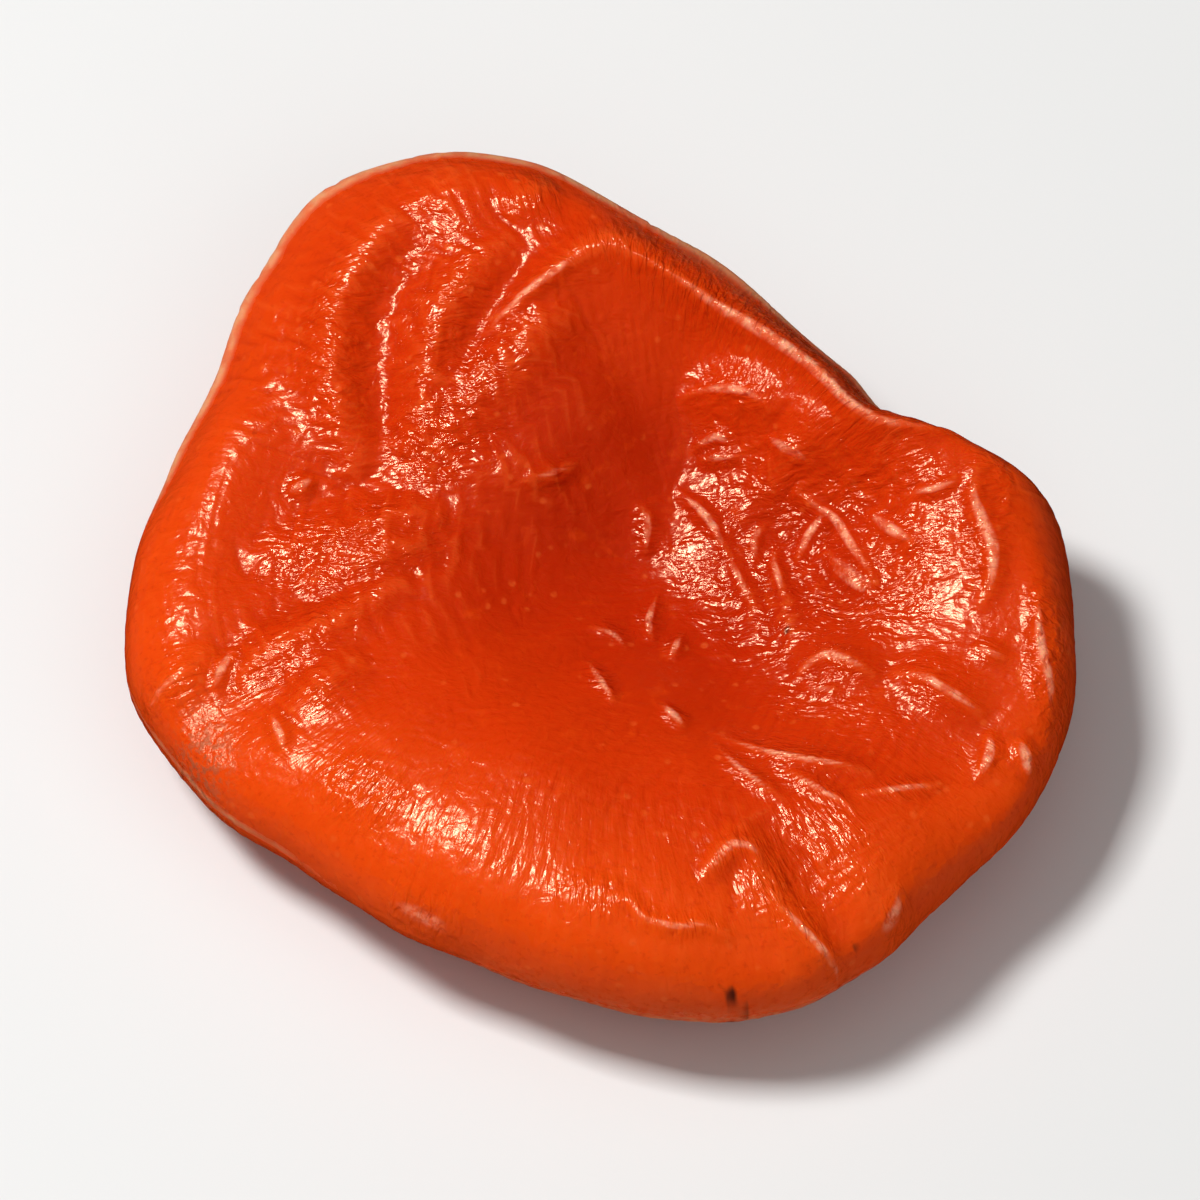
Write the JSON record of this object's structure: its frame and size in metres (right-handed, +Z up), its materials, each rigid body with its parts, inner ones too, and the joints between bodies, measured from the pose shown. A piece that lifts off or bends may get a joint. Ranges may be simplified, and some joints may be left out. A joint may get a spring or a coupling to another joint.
{
  "type": "dried apricot",
  "caption": "Whole pitted dried apricot, pressed flat into a soft, wrinkled cushion with a hollow on top and plump rolled edges.",
  "frame": {"origin": "middle of the fruit's bounding box, on the surface it lies on", "axes": "+Z up out of the hollow, +X along the longest side, -Y towards the plump front roll"},
  "size_m": [0.04, 0.0396, 0.0121],
  "materials": {
    "apricot_skin": null
  },
  "bodies": {
    "root": {"dried_apricot": "apricot_skin"}
  },
  "joints": []
}
